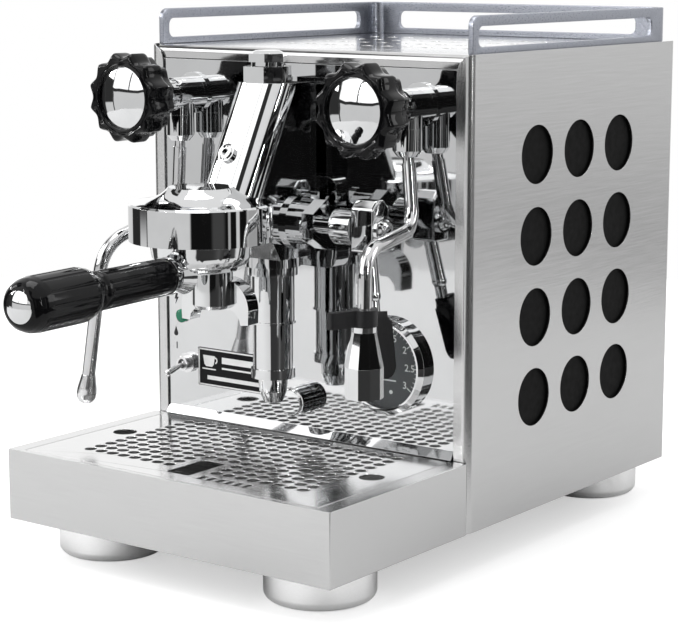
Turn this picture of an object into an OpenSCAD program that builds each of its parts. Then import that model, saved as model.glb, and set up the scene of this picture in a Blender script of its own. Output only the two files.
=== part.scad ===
// Espresso machine with a lever group, two valve taps and a portafilter.
// Units are millimetres and +Z is up. The front of the drip tray is on the -Y side.
// Set node to one name from NODES to show a single sub-part.

/* [View] */
// Name of the sub-part to show, or "all" for the whole machine

/* [Body] */
// Width over the side panels
body_w = 274; // [240:1:300]
// Depth from the drip tray front to the rear of the body
body_d = 425; // [380:1:460]
// Height of the top of the side panels above the table
body_top = 341.4; // [300:0.1:380]
// Height of the underside of the body above the table
body_low = 25.4; // [18:0.1:40]
// Thickness of the body sheets
sheet = 1.2; // [0.8:0.1:2]
// Distance from the drip tray front to the front flanges of the side panels
flange_y = 150.2; // [130:0.1:170]
// Width of the front flange of a side panel
flange_w = 11.7; // [8:0.1:16]
// Outside radius of the side panel bends
bend_r = 5.8; // [3:0.1:9]
// Radius of the rounded top inner corner of a front flange
flange_corner_r = 13; // [8:0.5:16]

/* [Side holes] */
// Diameter of the round side holes
vent_d = 40; // [20:1:46]
// Distance between hole columns
vent_step_y = 55.3; // [48:0.1:60]
// Distance between hole rows
vent_step_z = 55.6; // [48:0.1:60]
// Distance of the first hole column from the drip tray front
vent_first_y = 231.7; // [200:0.1:250]
// Height of the top hole row
vent_first_z = 271.8; // [250:0.1:290]

/* [Cup rail] */
// Total height to the top of the cup rail
rail_top = 366; // [350:0.1:380]
// Thickness of the rail strip
rail_t = 4; // [2:0.1:6]
// Distance between the outer faces of the rail sides
rail_w = 267.6; // [240:0.1:270]
// Start of the rail sides, from the drip tray front
rail_y0 = 156; // [150:1:180]
// Outer face of the rail's back, from the drip tray front
rail_y1 = 419; // [400:1:424]

/* [Drip tray] */
// Height of the drip tray rim above the table
tray_top = 74.1; // [60:0.1:90]
// Depth of the drip tray
tray_d = 149.6; // [120:0.1:150]
// Diameter of the drain holes in the grid
drain_d = 8.2; // [4:0.1:9]
// Distance between drain holes
drain_step = 10.15; // [8:0.05:14]
// Diameter of the two lifting holes in the grid
lift_d = 16.5; // [12:0.5:20]

/* [Feet] */
// Radius of a foot
foot_r = 36.6; // [20:0.1:40]
// Radius of the rounded lower edge of a foot
foot_edge = 6; // [2:0.5:10]
// Distance of the foot centres from the middle plane
foot_x = 89.9; // [60:0.1:95]
// Front foot centres, from the drip tray front
foot_y0 = 51.8; // [40:0.1:70]
// Rear foot centres, from the drip tray front
foot_y1 = 389.5; // [360:0.1:395]

/* [Group] */
// Centre of the bell, from the drip tray front
bell_y = 44; // [30:0.1:60]
// Outer radius of the bell
bell_r = 46.5; // [42:0.1:50]
// Height of the bell's upper edge
bell_top = 247.6; // [240:0.1:255]
// Height of the bell's lower edge
bell_low = 223.3; // [215:0.1:230]
// Radius of the neck's two front edges
neck_r = 17; // [6:0.5:20]
// Axis of the valve column, from the drip tray front
column_y = 117; // [105:0.5:125]
// Height of the lever shaft
shaft_z = 229; // [220:0.5:240]
// Diameter of the lever shaft
shaft_d = 12; // [8:0.5:14]

/* [Portafilter] */
// Angle of the handle from straight forward, positive to the right
handle_angle = 3.9; // [-30:1:30]
// Distance from the bell centre to the end of the handle
handle_len = 178; // [160:1:220]
// Height of the handle axis
handle_z = 204.3; // [200:0.5:215]
// Number of flutes around the handle
handle_flutes = 12; // [6:1:16]

/* [Valves] */
// Distance of the valve axes from the middle plane
valve_x = 97.2; // [80:0.1:110]
// Height of the valve axes
valve_z = 308.2; // [290:0.1:320]
// Radius of a knob over its lobes
knob_r = 31; // [24:0.5:34]
// Depth of a knob
knob_depth = 26; // [18:0.5:32]
// Front face of a knob, from the drip tray front
knob_y = 75; // [60:0.5:90]
// Number of scallops around a knob
knob_lobes = 12; // [8:1:16]
// Centre of the wand balls, from the drip tray front
ball_y = 136; // [125:0.5:142]
// Height of the wand balls
ball_z = 284; // [275:0.5:290]
// Radius of a wand tube
wand_r = 4.6; // [3:0.1:6]

/* [Panel fittings] */
// Gauge centre, to the right of the middle plane
gauge_x = 71.5; // [60:0.1:100]
// Gauge centre height
gauge_z = 132.4; // [120:0.1:160]
// Outer radius of the gauge bezel
gauge_r = 33; // [25:0.5:35]
// Lamp centre, to the left of the middle plane
lamp_x = -111; // [-120:0.1:-90]
// Lamp centre height
lamp_z = 147; // [130:0.1:160]
// Switch centre, to the left of the middle plane
switch_x = -105.8; // [-120:0.1:-90]
// Switch centre height
switch_z = 113.4; // [100:0.1:125]
// Small panel knob centre height
cap_z = 99.6; // [95:0.1:115]

/* [Hidden] */
$fn = 48;
eps = 0.01;
panel_y = 151.8;
panel_half = body_w / 2 - 4;
cap_x = -1.2;
cap_dome = 20;
spout_back = 11.5;
bell_axis = [0, bell_y, 0];
handle_low_y = bell_y - (handle_len - cap_dome) * cos(handle_angle) - cap_dome;
frame_y = (body_d + handle_low_y) / 2;
plate_half = body_w / 2 - sheet - 1.3;
basin_half = body_w / 2 - 11;
basin_y0 = 3;
floor_z = body_low + 2.6;
left_path = [[-valve_x, ball_y, ball_z], [-101.2, 136.6, 228.6], [-109.3, 68, 207.9], [-125.4, 68, 116]];
left_bends = [0, 23, 26, 0];
right_path = [[valve_x, ball_y, ball_z], [105, 131.2, 229], [117.4, 62, 223.6], [117, 62, 173]];
right_bends = [0, 17, 18, 0];
pipe_bends = [0, 14, 14, 0];

// ---------- helpers ----------

// Moves the machine so that the middle of its bounding box is over the origin
module placed() {
  translate([0, -frame_y, 0]) children();
}

// Box from its low corner to its high corner
module box(a, b) {
  translate(a) cube(b - a);
}

// Cylinder along Y, from y0 to y1
module rod_y(x, y0, y1, z, r, r2 = -1) {
  translate([x, y0, z]) rotate([-90, 0, 0]) cylinder(h = y1 - y0, r1 = r, r2 = r2 < 0 ? r : r2);
}

// Cylinder along X, from x0 to x1
module rod_x(x0, x1, y, z, r, r2 = -1) {
  translate([x0, y, z]) rotate([0, 90, 0]) cylinder(h = x1 - x0, r1 = r, r2 = r2 < 0 ? r : r2);
}

// Cylinder between two points
module strut(a, b, r, r2 = -1) {
  d = b - a;
  len = norm(d);
  turn = atan2(d[1], d[0]);
  tilt = acos(d[2] / len);
  translate(a) rotate([0, tilt, turn]) cylinder(h = len, r1 = r, r2 = r2 < 0 ? r : r2);
}

// Places children at the end of a line, with their Z along it
module along(a, b) {
  d = b - a;
  turn = atan2(d[1], d[0]);
  tilt = acos(d[2] / norm(d));
  translate(b) rotate([0, tilt, turn]) children();
}

function unit(v) = v / norm(v);

// Distance from a corner of a pipe to where its bend starts
function bend_cut(p, i, bends) =
  i == 0 || i == len(p) - 1 ? 0 :
  bends[i] * tan(acos(unit(p[i] - p[i - 1]) * unit(p[i + 1] - p[i])) / 2);

// Round pipe along a list of corners, with a bend of a given radius at each inner corner
module pipe(p, bends, r) {
  for (i = [0 : len(p) - 2]) {
    u = unit(p[i + 1] - p[i]);
    a = p[i] + u * max(0, bend_cut(p, i, bends) - 0.5);
    b = p[i + 1] - u * max(0, bend_cut(p, i + 1, bends) - 0.5);
    strut(a, b, r);
  }
  for (i = [1 : len(p) - 2]) {
    u = unit(p[i] - p[i - 1]);
    v = unit(p[i + 1] - p[i]);
    n = unit(v - (u * v) * u);
    w = cross(u, n);
    c = p[i] - u * bend_cut(p, i, bends) + n * bends[i];
    multmatrix([
      [-n[0], u[0], w[0], c[0]], [-n[1], u[1], w[1], c[1]], [-n[2], u[2], w[2], c[2]], [0, 0, 0, 1]
    ]) rotate_extrude(angle = acos(u * v)) translate([bends[i], 0]) circle(r = r + 0.08);
  }
}

// Rounded rectangle made of squares and circles
module round_rect(w, h, r) {
  square([w - 2 * r, h], center = true);
  square([w, h - 2 * r], center = true);
  for (i = [-1, 1], j = [-1, 1]) translate([i * (w / 2 - r), j * (h / 2 - r)]) circle(r = r);
}

// ---------- body ----------

module base_frame() {
  color("#1c1c1e") placed() {
    box([-plate_half, 154, body_low + 0.6], [plate_half, body_d - 3, floor_z]);
    for (s = [-1, 1]) {
      box([min(s * 60, s * 122), 5, body_low + 0.6], [max(s * 60, s * 122), 154 + eps, floor_z]);
      x0 = min(s * (plate_half - 1), s * plate_half);
      box([x0, 158, floor_z - eps], [x0 + 1, body_d - 8, body_top - 12]);
    }
    box([-plate_half, 154, floor_z - eps], [plate_half, 155.2, 60]);
    box([-plate_half + 0.5, 297, 98.2], [plate_half - 0.5, 417, 100]);
  }
}

module panel_profile() {
  half = body_w / 2;
  box_y0 = flange_y + bend_r;
  box_y1 = body_d - bend_r;
  translate([half - sheet, box_y0]) square([sheet, box_y1 - box_y0]);
  translate([half - flange_w, flange_y]) square([flange_w - bend_r, sheet]);
  translate([half - flange_w, body_d - sheet]) square([flange_w - bend_r, sheet]);
  for (y = [box_y0, box_y1]) {
    side = y == box_y0 ? -1 : 1;
    intersection() {
      translate([half - bend_r, y]) difference() {
        circle(r = bend_r);
        circle(r = bend_r - sheet);
      }
      translate([half - bend_r, side < 0 ? y - bend_r : y]) square([bend_r, bend_r]);
    }
  }
}

module side_panel() {
  corner_x = body_w / 2 - flange_w;
  difference() {
    translate([0, 0, body_low]) linear_extrude(body_top - body_low) panel_profile();
    for (i = [0 : 2], j = [0 : 3]) {
      y = vent_first_y + i * vent_step_y;
      z = vent_first_z - j * vent_step_z;
      rod_x(body_w / 2 - 3, body_w / 2 + 3, y, z, vent_d / 2);
    }
    for (y = [flange_y - 1, body_d - 3]) difference() {
      box([corner_x - 1, y, body_top - flange_corner_r], [corner_x + flange_corner_r, y + 4, body_top + 1]);
      rod_y(corner_x + flange_corner_r, y - 1, y + 5, body_top - flange_corner_r, flange_corner_r);
    }
  }
}

module side_panel_right() {
  color("#c9cbcd") placed() side_panel();
}

module side_panel_left() {
  color("#c9cbcd") placed() mirror([1, 0, 0]) side_panel();
}

module front_panel() {
  low = 80.6;
  foot_z = tray_top + 0.6;
  lip = [[panel_y, low], [panel_y - 4, foot_z], [panel_y - 3, foot_z], [panel_y + sheet, low]];
  color("#e4e6e8") placed() difference() {
    union() {
      box([-panel_half, panel_y, low], [panel_half, panel_y + sheet, body_top - 10]);
      translate([-124.8, 0, 0]) rotate([90, 0, 90]) linear_extrude(249.6) polygon(lip);
    }
    for (s = [-1, 1]) rod_y(s * valve_x, panel_y - 1, panel_y + 3, valve_z, 7.1);
    for (z = [212, 240]) rod_y(0, panel_y - 1, panel_y + 3, z, 7);
    rod_y(gauge_x, panel_y - 1, panel_y + 3, gauge_z, 24.2);
    rod_y(lamp_x, panel_y - 1, panel_y + 3, lamp_z, 4.1);
    rod_y(switch_x, panel_y - 1, panel_y + 3, switch_z, 5.2);
    rod_y(cap_x, panel_y - 1, panel_y + 3, cap_z, 4.1);
  }
}

module rear_panel() {
  color("#c4c6c8") placed() difference() {
    box([1 - panel_half, body_d - 2.6, body_low + 3], [panel_half - 1, body_d - 1.4, body_top - 3]);
    for (i = [-4 : 4], j = [0 : 2]) {
      translate([i * 22, body_d, 250 + j * 26]) rotate([90, 0, 0]) linear_extrude(8) round_rect(5, 20, 2.4);
    }
    box([66, body_d - 5, 48], [94, body_d, 70]);
  }
}

module cup_tray() {
  half = body_w / 2 - sheet - 0.6;
  front_half = half - 2.6;
  y0 = panel_y + 0.5;
  y1 = body_d - 4;
  top = body_top - 0.4;
  low = body_top - 9.6;
  r = 5;
  color("#d8dadc") placed() difference() {
    union() {
      box([-half, y0 + r, top - sheet], [half, y1, top]);
      box([-front_half, y0, low], [front_half, y0 + sheet, top - r]);
      intersection() {
        difference() {
          rod_x(-front_half, front_half, y0 + r, top - r, r);
          rod_x(-half - 1, half + 1, y0 + r, top - r, r - sheet);
        }
        box([-half - 1, y0, top - r], [half + 1, y0 + r, top]);
      }
      for (s = [0, 1]) mirror([s, 0, 0]) box([half - sheet - 3, y0 + r, low], [half - 3, y1, top]);
      box([-half, y1 - sheet, low], [half, y1, top]);
    }
    for (i = [-5 : 5], j = [0 : 3]) translate([i * 17, 225 + j * 42, top - 4]) cylinder(h = 8, r = 4);
  }
}

module rail_strip() {
  half = rail_w / 2;
  r = 12;
  d = rail_y1 - rail_y0;
  difference() {
    union() {
      translate([-half, 0]) square([rail_w, d - r]);
      translate([-half + r, 0]) square([rail_w - 2 * r, d]);
      for (s = [-1, 1]) translate([s * (half - r), d - r]) circle(r = r);
    }
    translate([-half + rail_t, -1]) square([rail_w - 2 * rail_t, d - r + 1]);
    translate([-half + r, -1]) square([rail_w - 2 * r, d - rail_t + 1]);
    for (s = [-1, 1]) translate([s * (half - r), d - r]) circle(r = r - rail_t);
  }
}

module cup_rail() {
  z0 = body_top - 0.4;
  h = rail_top - z0;
  win_h = h - 11.6;
  win_z = z0 + 4.6 + win_h / 2;
  side_len = rail_y1 - rail_y0 - 7 - 26;
  color("#8f96a3") placed() difference() {
    translate([0, rail_y0, z0]) linear_extrude(h) rail_strip();
    translate([-rail_w, rail_y0 + 7 + side_len / 2, win_z]) rotate([90, 0, 90]) linear_extrude(2 * rail_w)
      round_rect(side_len, win_h, 5);
    translate([0, rail_y1 + 8, win_z]) rotate([90, 0, 0]) linear_extrude(20)
      round_rect(rail_w - 2 * 26, win_h, 5);
    difference() {
      box([-rail_w, rail_y0 - 1, rail_top - 7], [rail_w, rail_y0 + 7, rail_top + 1]);
      rod_x(-rail_w - 1, rail_w + 1, rail_y0 + 7, rail_top - 7, 7);
    }
  }
}

// One foot, turned, with a rounded lower edge
module foot() {
  rotate_extrude($fn = 64) {
    square([foot_r - foot_edge, body_low + 0.6]);
    translate([0, foot_edge]) square([foot_r, body_low + 0.6 - foot_edge]);
    intersection() {
      translate([foot_r - foot_edge, foot_edge]) circle(r = foot_edge);
      translate([foot_r - foot_edge, 0]) square([foot_edge, foot_edge]);
    }
  }
}

module feet() {
  color("#b9bcc0") placed() for (x = [-foot_x, foot_x], y = [foot_y0, foot_y1]) translate([x, y, 0]) foot();
}

// ---------- drip tray ----------

module drip_tray() {
  half = body_w / 2;
  color("#c9cbcd") placed() {
    difference() {
      box([-half, 0, body_low], [half, tray_d, tray_top]);
      box([-half + sheet, sheet, body_low - 1], [half - sheet, tray_d + 1, tray_top - sheet]);
      box(
        [-basin_half + 0.5, basin_y0 + 0.5, body_low], [basin_half - 0.5, tray_d - sheet + 0.1, tray_top + 1]
      );
    }
    difference() {
      box([-basin_half, basin_y0, floor_z + 1.6], [basin_half, tray_d, tray_top]);
      translate([0, 0, sheet]) box(
        [-basin_half + sheet, basin_y0 + sheet, floor_z + 1.6], [basin_half - sheet, tray_d - sheet, tray_top]
      );
    }
    for (x = [-basin_half + 6, basin_half - 6], y = [basin_y0 + 6, tray_d - 6]) {
      box([x - 5.5, y - 5.5, tray_top - 4], [x + 5.5, y + 5.5, tray_top - sheet - 0.1]);
    }
  }
}

module drip_grid() {
  half = basin_half - sheet - 0.4;
  y0 = basin_y0 + sheet + 0.4;
  y1 = tray_d - sheet - 0.4;
  color("#dfe1e3") placed() difference() {
    box([-half, y0, tray_top - sheet], [half, y1, tray_top]);
    for (i = [-9 : 9], j = [0 : 10]) {
      skip = abs(i) < 2 && j < 3;
      if (!skip) translate([i * drain_step, 33 + j * drain_step, tray_top - 3])
        cylinder(h = 5, d = drain_d, $fn = 24);
    }
    for (s = [-1, 1]) translate([s * 107, 84, tray_top - 3]) cylinder(h = 5, d = lift_d, $fn = 32);
    translate([0, 36, tray_top - 3]) linear_extrude(5) round_rect(19, 38, 2);
    for (i = [0 : 5]) translate([20 + i * 7.4, 19, tray_top - 3]) linear_extrude(5) round_rect(4, 9, 1.2);
  }
}

// ---------- group ----------

module neck_side() {
  translate([-22, 0, 0]) rotate([90, 0, 90]) linear_extrude(44)
    polygon([[131, 321], [98, 321], [60, 248.4], [60, 236], [84, 228], [98, 205], [131, 205]]);
}

module group_body() {
  slope = atan((98 - 60) / (321 - 248.4));
  color("#dcdfe2") placed() difference() {
    union() {
      difference() {
        neck_side();
        for (s = [0, 1]) mirror([s, 0, 0]) translate([0, 98, 321]) rotate([-slope, 0, 0])
          translate([0, 0, -110]) linear_extrude(120)
            difference() {
              translate([22 - neck_r, -6]) square([neck_r + 6, neck_r + 6]);
              translate([22 - neck_r, neck_r]) circle(r = neck_r);
            }
      }
      translate(bell_axis) rotate_extrude($fn = 72) polygon([
        [0, 236], [bell_r, 236], [bell_r, bell_low], [bell_r, bell_top - 1.2], [bell_r - 1.2, bell_top],
        [bell_r - 4, bell_top + 0.5], [38, 248.8], [34, 249.7], [30, 251], [26.5, 252.7], [23.5, 254.9], [21, 257.6],
        [0, 257.7]
      ]);
      translate(bell_axis) translate([0, 0, bell_low]) cylinder(h = 14, r = bell_r, $fn = 72);
      translate([0, column_y, 198]) cylinder(h = 60, r = 19);
      rod_x(0, 16, column_y, shaft_z, 19);
      box([-15, 130, 205], [15, 146, 318]);
      translate([0, panel_y, 226]) rotate([90, 0, 0]) linear_extrude(7) round_rect(66, 62, 8);
    }
    translate(bell_axis) translate([0, 0, bell_low - 1]) cylinder(h = 4.2, r = 36.4, $fn = 72);
    translate(bell_axis) translate([0, 0, bell_low + 3]) cylinder(h = 7.2, r = 39.4, $fn = 72);
    translate(bell_axis) translate([0, 0, bell_low + 10]) cylinder(h = 11, r = 36.4, $fn = 72);
    for (s = [-1, 1]) translate(bell_axis) rotate([0, 0, s * 90 - 50 + handle_angle]) {
      translate([0, -34, bell_low - 1]) linear_extrude(4.2) square([24, 12], center = true);
    }
    rod_x(-14, 24, column_y, shaft_z, shaft_d / 2 + 0.05);
    for (z = [212, 240]) rod_y(0, 140, panel_y + 1, z, 6);
  }
}

module group_cap() {
  y = 113;
  color("#e6e8ea") placed() {
    translate([0, y, 321]) cylinder(h = 10.6, r = 17, $fn = 6);
    translate([0, y, 331.5]) cylinder(h = 3, r = 11);
    translate([0, y, 334.4]) cylinder(h = 5.6, r = 13.2, $fn = 6);
    translate([0, y, 339.9]) cylinder(h = 2, r1 = 12, r2 = 8);
  }
}

module group_plug() {
  slope = atan((98 - 60) / (321 - 248.4));
  color("#cfd2d5") placed() translate([0, 98, 321]) rotate([-slope, 0, 0]) translate([-2.6, 0, -50.5])
    rotate([90, 0, 0]) difference() {
      union() {
        cylinder(h = 2.2, r = 6.2);
        translate([0, 0, 2.1]) cylinder(h = 1.2, r1 = 5.4, r2 = 4.4);
      }
      translate([0, 0, 1.4]) cylinder(h = 4, r = 2.6, $fn = 6);
    }
}

module valve_housing() {
  color("#e0e3e6") placed() translate([0, column_y, 0]) {
    translate([0, 0, 160.4]) cylinder(h = 32, r = 14.8);
    translate([0, 0, 192]) cylinder(h = 6, r = 17);
    translate([0, 0, 159]) cylinder(h = 1.6, r = 15.6);
    translate([0, 0, 128]) cylinder(h = 31.2, r = 13.6);
  }
}

module drain_nozzle() {
  color("#e0e3e6") placed() translate([0, column_y, 0]) difference() {
    union() {
      translate([0, 0, 121.5]) cylinder(h = 6.5, r = 15.2, $fn = 12);
      translate([0, 0, 112]) cylinder(h = 9.6, r1 = 9.5, r2 = 10.2);
      translate([0, 0, 104.7]) cylinder(h = 7.4, r1 = 6.8, r2 = 9.5);
    }
    translate([0, 0, 100]) cylinder(h = 16, r = 4);
  }
}

module shower_screen() {
  color("#c2c5c8") placed() translate(bell_axis) difference() {
    union() {
      translate([0, 0, 234.2]) cylinder(h = 2.3, r = 28.6);
      translate([0, 0, 236.4]) cylinder(h = bell_low + 21 - 236.4, r = 6);
    }
    for (k = [1 : 3], a = [0 : 60 / k : 359]) rotate([0, 0, a]) translate([k * 7, 0, 233])
      cylinder(h = 5, r = 1.2, $fn = 6);
  }
}

module group_gasket() {
  color("#26262a") placed() translate(bell_axis) difference() {
    translate([0, 0, 236.8]) cylinder(h = bell_low + 21 - 236.8, r = 36.3);
    translate([0, 0, 236]) cylinder(h = 9, r = 29.4);
  }
}

// ---------- lever ----------

module shaft_nut() {
  color("#e6e8ea") placed() difference() {
    union() {
      rod_x(22, 25, column_y, shaft_z, 18);
      rod_x(24.9, 36, column_y, shaft_z, 14.2);
      translate([36, column_y, shaft_z]) rotate([0, 90, 0]) cylinder(h = 9.5, r = 16.4, $fn = 6);
    }
    rod_x(10, 50, column_y, shaft_z, shaft_d / 2 + 0.05);
  }
}

module lever_shaft() {
  color("#dcdfe2") placed() {
    rod_x(-12, 91, column_y, shaft_z, shaft_d / 2);
    difference() {
      rod_x(56, 71.8, column_y, shaft_z, 12);
      for (a = [0 : 20 : 359]) translate([0, column_y, shaft_z]) rotate([a, 0, 0])
        box([57, -0.8, 11.4], [70.5, 0.8, 13]);
    }
    rod_x(90.1, 92.6, column_y, shaft_z, 9);
    rod_x(92.5, 95, column_y, shaft_z, 7.4, 6);
    rod_x(94.9, 96.2, column_y, shaft_z, 5.6, 3);
  }
}

module lever_block() {
  color("#d5d8db") placed() difference() {
    translate([72, column_y, shaft_z]) rotate([90, 0, 90]) linear_extrude(18)
      polygon([[-9, -15], [9, -15], [9, 14], [4, 19], [-4, 19], [-9, 14]]);
    rod_x(70, 92, column_y, shaft_z, shaft_d / 2);
  }
}

module lever_rod() {
  color("#dcdfe2") placed() {
    strut([81, column_y, shaft_z - 14.6], [86.2, 113.4, 186], 5);
    strut([86.2, 113.4, 186], [89, 111.8, 170], 4.2);
    translate([86.2, 113.4, 186]) sphere(r = 5.3);
  }
}

module lever_grip() {
  color("#141416") placed() along([81, column_y, 214], [89.4, 111.6, 176]) rotate([0, 0, 68]) difference() {
    translate([0, 4.6, 0]) rotate([90, 0, 0]) linear_extrude(9.2) {
      translate([0, 21]) square([20, 30], center = true);
      translate([0, 34]) circle(r = 10);
      translate([0, 8]) circle(r = 8);
      translate([-6.5, 0]) square([13, 10]);
    }
    translate([0, 0, -1]) cylinder(h = 10, r = 4.2);
  }
}

// ---------- portafilter ----------

// Turns about the bell axis to the handle's rest angle
module in_portafilter() {
  translate(bell_axis) rotate([0, 0, handle_angle]) children();
}

// Turned part on the handle axis, with its Z pointing to the user
module on_handle() {
  translate([0, 0, handle_z]) rotate([90, 0, 0]) children();
}

module portafilter_head() {
  color("#dcdfe2") placed() in_portafilter() difference() {
    union() {
      rotate_extrude($fn = 72) polygon([
        [0, 203], [19, 203], [25, 204.6], [29.5, 208.5], [32.2, 213], [33.4, 222.6], [36, 222.6], [36, 236],
        [0, 236]
      ]);
      for (s = [-1, 1]) intersection() {
        difference() {
          translate([0, 0, 227.2]) cylinder(h = 5.4, r = 38.8, $fn = 72);
          translate([0, 0, 226]) cylinder(h = 8, r = 30);
        }
        translate([s * 36, 0, 230]) cube([16, 22, 12], center = true);
      }
      on_handle() translate([0, 0, 22]) cylinder(h = 9, r1 = 13.5, r2 = 9.6);
      on_handle() translate([0, 0, 30.9]) cylinder(h = 9, r = 8.4);
    }
    translate([0, 0, 213.6]) cylinder(h = 30, r = 30.6, $fn = 72);
    translate([0, 0, 206]) cylinder(h = 10, r1 = 6, r2 = 22);
    translate([0, 8, 200]) cylinder(h = 10, r = 4.5);
    translate([0, 0, 232.4]) cylinder(h = 8, r = 34, $fn = 72);
  }
}

module filter_basket() {
  color("#c9ccd0") placed() in_portafilter() difference() {
    union() {
      translate([0, 0, 214]) cylinder(h = 20, r = 30.2, $fn = 72);
      translate([0, 0, 232.5]) cylinder(h = 1.4, r = 33.6, $fn = 72);
    }
    translate([0, 0, 215]) cylinder(h = 30, r = 29.2, $fn = 72);
    for (k = [1 : 3], a = [0 : 60 / k : 359]) rotate([0, 0, a]) translate([k * 7, 0, 210])
      cylinder(h = 8, r = 0.8, $fn = 6);
  }
}

// Half of the double spout, seen from the front, as an outline in X and Z
module spout_outline() {
  intersection() {
    translate([6.5, 176.5]) circle(r = 20.5);
    translate([6.4, 176.5]) square([21, 21]);
  }
  polygon([
    [0, 197], [6.5, 197], [6.5, 176.6], [27, 176.6], [26.6, 167.6], [20.6, 167], [19.4, 171.4], [15.6, 175.4],
    [11, 177.5], [0, 178]
  ]);
}

module spout() {
  color("#dcdfe2") placed() in_portafilter() difference() {
    union() {
      translate([0, spout_back, 180]) cylinder(h = 22.9, r = 13.5);
      translate([0, spout_back, 177.5]) cylinder(h = 2.6, r1 = 11, r2 = 13.5);
      for (s = [0, 1]) mirror([s, 0, 0]) translate([0, spout_back + 13.5, 0]) rotate([90, 0, 0])
        linear_extrude(11.5) spout_outline();
    }
    translate([0, 8, 189]) cylinder(h = 20, r = 4.5);
    for (s = [-1, 1]) translate([s * 23.6, spout_back + 7.8, 160]) cylinder(h = 16, r = 2.2);
  }
}

module handle_ferrule() {
  color("#e0e3e6") placed() in_portafilter() on_handle() difference() {
    union() {
      translate([0, 0, 34]) cylinder(h = 2.6, r1 = 9.4, r2 = 12.3);
      translate([0, 0, 36.5]) cylinder(h = 3.4, r = 12.3);
    }
    translate([0, 0, 26]) cylinder(h = 20, r = 8.4);
  }
}

module handle_grip() {
  color("#161618") placed() in_portafilter() on_handle() difference() {
    rotate_extrude() polygon([
      [0, 40], [11.2, 40], [11.9, 42], [12.3, 106], [11.2, 108], [11.2, 110], [12.6, 110.6], [12.6, 113],
      [13.6, 114.6], [15.8, 118], [17, 124], [17, 162], [16.2, 168], [14.4, 172.4], [12, 175], [10.1, 175.6],
      [10, handle_len - 7], [0, handle_len - 7]
    ]);
    for (a = [0 : 360 / handle_flutes : 359]) rotate([0, 0, a]) {
      translate([13.3, 0, 46]) cylinder(h = 57, r = 2, $fn = 12);
      translate([18.3, 0, 120]) cylinder(h = 44, r = 2, $fn = 12);
    }
  }
}

module handle_cap() {
  color("#e6e8ea") placed() in_portafilter() on_handle() {
    intersection() {
      translate([0, 0, handle_len - cap_dome]) sphere(r = cap_dome, $fn = 64);
      translate([0, 0, handle_len - 7]) cylinder(h = 10, r = 10);
    }
  }
}

// ---------- valves and wands ----------

module valve(s) {
  x = s * valve_x;
  difference() {
    union() {
      rod_y(x, 149.4, panel_y, valve_z, 14.4);
      rod_y(x, 126, 149.6, valve_z, 11.3);
      rod_y(x, 118, 126.1, valve_z, 9.6);
      for (a = [0 : 30 : 359]) translate([x, 0, valve_z]) rotate([0, a, 0])
        rod_y(9.2, 120, 125, 0, 1.2, 1.2, $fn = 8);
      rod_y(x, 84, 118.1, valve_z, 4);
      rod_y(x, panel_y - eps, 166, valve_z, 6.9);
      translate([x, ball_y, 293.6]) cylinder(h = 12, r = 9.8);
    }
    translate([x, ball_y, ball_z]) sphere(r = 7.4);
  }
}

module valve_left() {
  color("#e0e3e6") placed() valve(-1);
}

module valve_right() {
  color("#e0e3e6") placed() valve(1);
}

module joint_nut(s) {
  translate([s * valve_x, ball_y, 0]) difference() {
    union() {
      translate([0, 0, 279.5]) cylinder(h = 14.1, r = 9.8);
      translate([0, 0, 275.5]) cylinder(h = 4.1, r1 = 6.6, r2 = 9.8);
    }
    translate([0, 0, ball_z]) sphere(r = 7.4);
    translate([0, 0, ball_z]) cylinder(h = 20, r = 7.4);
    translate([0, 0, 270]) cylinder(h = 14, r = 5.4);
  }
}

module joint_nut_left() {
  color("#e6e8ea") placed() joint_nut(-1);
}

module joint_nut_right() {
  color("#e6e8ea") placed() joint_nut(1);
}

module knob(s) {
  translate([s * valve_x, 0, valve_z]) difference() {
    union() {
      translate([0, knob_y + knob_depth, 0]) rotate([90, 0, 0]) linear_extrude(knob_depth - 2) difference() {
        circle(r = knob_r);
        for (a = [0 : 360 / knob_lobes : 359]) rotate([0, 0, a]) translate([knob_r + 6.8, 0]) circle(r = 9.4);
      }
      rod_y(0, knob_y, knob_y + 2.1, 0, 24.6, 26.4);
    }
    rod_y(0, knob_y - 1, knob_y + 3, 0, 21.2);
    rod_y(0, knob_y + 8, knob_y + knob_depth + 1, 0, 4.06);
    rod_y(0, knob_y + 16, knob_y + knob_depth + 1, 0, 11);
  }
}

module knob_left() {
  color("#141416") placed() knob(-1);
}

module knob_right() {
  color("#141416") placed() knob(1);
}

module knob_disc(s) {
  translate([s * valve_x, 0, valve_z]) {
    rod_y(0, knob_y + 2.3, knob_y + 3, 0, 21.1);
    intersection() {
      translate([0, knob_y + 58.6, 0]) sphere(r = 60, $fn = 96);
      rod_y(0, knob_y - 4, knob_y + 2.4, 0, 21.1);
    }
  }
}

module knob_disc_left() {
  color("#e9ebed") placed() knob_disc(-1);
}

module knob_disc_right() {
  color("#e9ebed") placed() knob_disc(1);
}

module wand(points, bends) {
  start = points[0] + 13 * unit(points[1] - points[0]);
  translate(points[0]) sphere(r = 7);
  strut(points[0], points[0] + 13.2 * unit(points[1] - points[0]), 3.8);
  pipe([start, points[1], points[2], points[3]], bends, wand_r);
}

module wand_left() {
  color("#dcdfe2") placed() wand(left_path, left_bends);
}

module wand_right() {
  color("#dcdfe2") placed() wand(right_path, right_bends);
}

module steam_tip() {
  n = len(left_path);
  color("#e0e3e6") placed() along(left_path[n - 2], left_path[n - 1]) rotate_extrude(convexity = 4) polygon([
    [0, 0], [4.9, 0], [5.4, 3], [6.8, 10], [7.1, 14], [6.6, 17.5], [5, 20], [2.4, 21.4], [0, 21.8]
  ]);
}

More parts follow.
